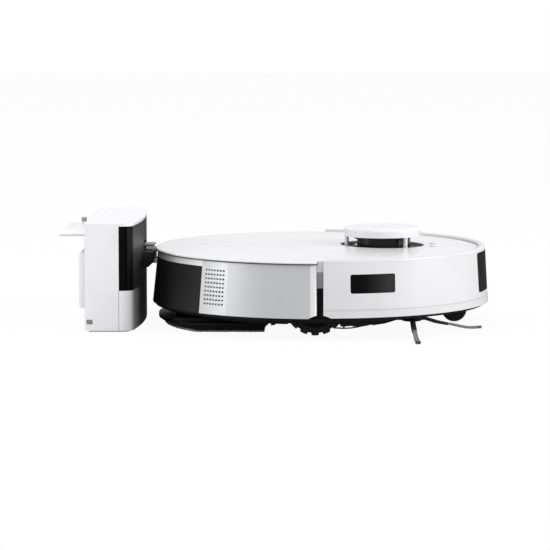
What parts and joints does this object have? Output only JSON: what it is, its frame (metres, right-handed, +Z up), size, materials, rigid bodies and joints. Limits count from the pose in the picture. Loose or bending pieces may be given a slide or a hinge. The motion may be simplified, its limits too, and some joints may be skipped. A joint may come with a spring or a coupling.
{
  "type": "robot vacuum",
  "caption": "Round robot vacuum with a laser turret, side brush, drive wheels, lifting mop and bin, parked against its upright charging dock.",
  "frame": {"origin": "the floor point under the centre of the robot's round body", "axes": "+X towards the robot's front, away from the dock, +Y towards the robot's left side, +Z up"},
  "size_m": [0.4418, 0.374, 0.11],
  "materials": {
    "white_shell": "satin, faintly cool white",
    "silver_panel": "satin silver lacquer",
    "dark_plastic": "fine grained black",
    "black_gloss": "polished black",
    "grey_gloss": "dark grey gloss",
    "rubber": "matt black rubber",
    "grey_plastic": "light grey",
    "smoke_bin": "smoked, part clear",
    "cloth": "short grey microfibre loops",
    "bristle": "grey nylon bristles",
    "contact_metal": "bright spring metal",
    "motor_metal": "drawn steel",
    "circuit": "green board",
    "filter_paper": "pleated filter",
    "lens": "dark sensor lens",
    "light_lens": "frosted light pipe"
  },
  "bodies": {
    "chassis": {"chassis_base": "dark_plastic", "inner_deck": "white_shell", "underside_screws": "motor_metal", "cliff_sensors": "lens", "side_panel_right": "silver_panel", "side_panel_left": "silver_panel", "vent_grilles": "silver_panel", "rear_panel": "black_gloss", "rear_trim": "silver_panel", "charging_contacts": "contact_metal", "lidar_base": "dark_plastic", "lidar_motor": "motor_metal", "suction_duct": "dark_plastic", "main_board": "circuit", "battery_pack": "dark_plastic", "fan_housing": "dark_plastic", "brush_motor": "motor_metal", "side_brush_motor": "motor_metal", "brush_guard": "dark_plastic"},
    "bumper": {"bumper_shell": "white_shell", "front_window": "black_gloss", "side_windows": "black_gloss"},
    "cover": {"top_cover": "white_shell", "status_light": "light_lens"},
    "power_key": {"power_button": "white_shell"},
    "home_key": {"home_button": "white_shell"},
    "turret": {"lidar_head": "dark_plastic"},
    "turret_cap": {"lidar_cap": "white_shell"},
    "bin": {"dust_bin": "smoke_bin", "bin_filter": "filter_paper", "bin_lid": "grey_plastic", "water_tank": "smoke_bin"},
    "fan": {"fan_impeller": "grey_plastic"},
    "arm_right": {"suspension_arm_right": "dark_plastic", "drive_motor_right": "motor_metal"},
    "arm_left": {"suspension_arm_left": "dark_plastic", "drive_motor_left": "motor_metal"},
    "wheel_right": {"wheel_hub_right": "dark_plastic", "tyre_right": "rubber"},
    "wheel_left": {"wheel_hub_left": "dark_plastic", "tyre_left": "rubber"},
    "castor_swivel": {"castor_fork": "dark_plastic"},
    "castor_roller": {"castor_wheel": "dark_plastic"},
    "brush_roller": {"main_brush": "rubber"},
    "side_brush": {"side_brush_arms": "rubber", "side_brush_bristles": "bristle"},
    "mop": {"mop_plate": "dark_plastic", "mop_pad": "cloth"},
    "dock": {"dock_housing": "white_shell", "dock_side_strips": "black_gloss", "dock_front_panel": "grey_gloss", "dock_arm": "dark_plastic", "dock_contacts": "contact_metal", "dock_base": "dark_plastic", "dock_foot_pad": "rubber", "dock_board": "circuit", "dock_back_cover": "white_shell", "dock_wall_bracket": "white_shell", "dock_power_inlet": "grey_plastic"},
    "latch": {"dock_latch": "dark_plastic"}
  },
  "joints": [
    {"name": "bumper_press", "type": "slide", "parent": "chassis", "child": "bumper", "axis": [-1, 0, 0], "range_m": [0, 0.0025], "stiffness_N_per_m": 400},
    {"name": "cover_lift", "type": "slide", "parent": "chassis", "child": "cover", "axis": [0, 0, 1], "range_m": [0, 0.12]},
    {"name": "bin_lift", "type": "slide", "parent": "chassis", "child": "bin", "axis": [0, 0, 1], "range_m": [0, 0.072]},
    {"name": "power_press", "type": "slide", "parent": "chassis", "child": "power_key", "axis": [0, 0, -1], "range_m": [0, 0.0012], "stiffness_N_per_m": 300},
    {"name": "home_press", "type": "slide", "parent": "chassis", "child": "home_key", "axis": [0, 0, -1], "range_m": [0, 0.0012], "stiffness_N_per_m": 300},
    {"name": "turret_spin", "type": "hinge", "parent": "chassis", "child": "turret", "pos_m": [0.0644, 0, 0.08], "axis": [0, 0, 1], "continuous": true},
    {"name": "turret_cap_press", "type": "slide", "parent": "chassis", "child": "turret_cap", "axis": [0, 0, -1], "range_m": [0, 0.0012], "stiffness_N_per_m": 1500},
    {"name": "fan_spin", "type": "hinge", "parent": "chassis", "child": "fan", "pos_m": [-0.088, 0.10356, 0.04], "axis": [0, 0, 1], "continuous": true},
    {"name": "arm_right_droop", "type": "hinge", "parent": "chassis", "child": "arm_right", "pos_m": [0.028, -0.116, 0.046], "axis": [0, -1, 0], "range_deg": [0, 12]},
    {"name": "arm_left_droop", "type": "hinge", "parent": "chassis", "child": "arm_left", "pos_m": [0.028, 0.116, 0.046], "axis": [0, -1, 0], "range_deg": [0, 12]},
    {"name": "wheel_right_spin", "type": "hinge", "parent": "arm_right", "child": "wheel_right", "pos_m": [-0.0045, -0.116, 0.031], "axis": [0, 1, 0], "continuous": true},
    {"name": "wheel_left_spin", "type": "hinge", "parent": "arm_left", "child": "wheel_left", "pos_m": [-0.0045, 0.116, 0.031], "axis": [0, 1, 0], "continuous": true},
    {"name": "castor_turn", "type": "hinge", "parent": "chassis", "child": "castor_swivel", "pos_m": [0.1419, 0, 0.03], "axis": [0, 0, 1], "continuous": true},
    {"name": "castor_roll", "type": "hinge", "parent": "castor_swivel", "child": "castor_roller", "pos_m": [0.1397, 0, 0.013], "axis": [0, 1, 0], "continuous": true},
    {"name": "main_brush_spin", "type": "hinge", "parent": "chassis", "child": "brush_roller", "pos_m": [0.024, 0, 0.02], "axis": [0, 1, 0], "continuous": true},
    {"name": "side_brush_spin", "type": "hinge", "parent": "chassis", "child": "side_brush", "pos_m": [0.09262, -0.11196, 0.016], "axis": [0, 0, 1], "continuous": true},
    {"name": "mop_lift", "type": "slide", "parent": "chassis", "child": "mop", "axis": [0, 0, 1], "range_m": [0, 0.0035]},
    {"name": "dock_away", "type": "slide", "parent": "chassis", "child": "dock", "axis": [-1, 0, 0], "range_m": [0, 0.2]},
    {"name": "latch_tilt", "type": "hinge", "parent": "dock", "child": "latch", "pos_m": [-0.1905, 0, 0.08], "axis": [0, -1, 0], "range_deg": [0, 15], "stiffness_Nm_per_rad": 0.05, "springref_deg": -2.86}
  ],
  "couplings": [
    {"joint": "bin_lift", "follows": "cover_lift", "ratio": 0.6}
  ]
}
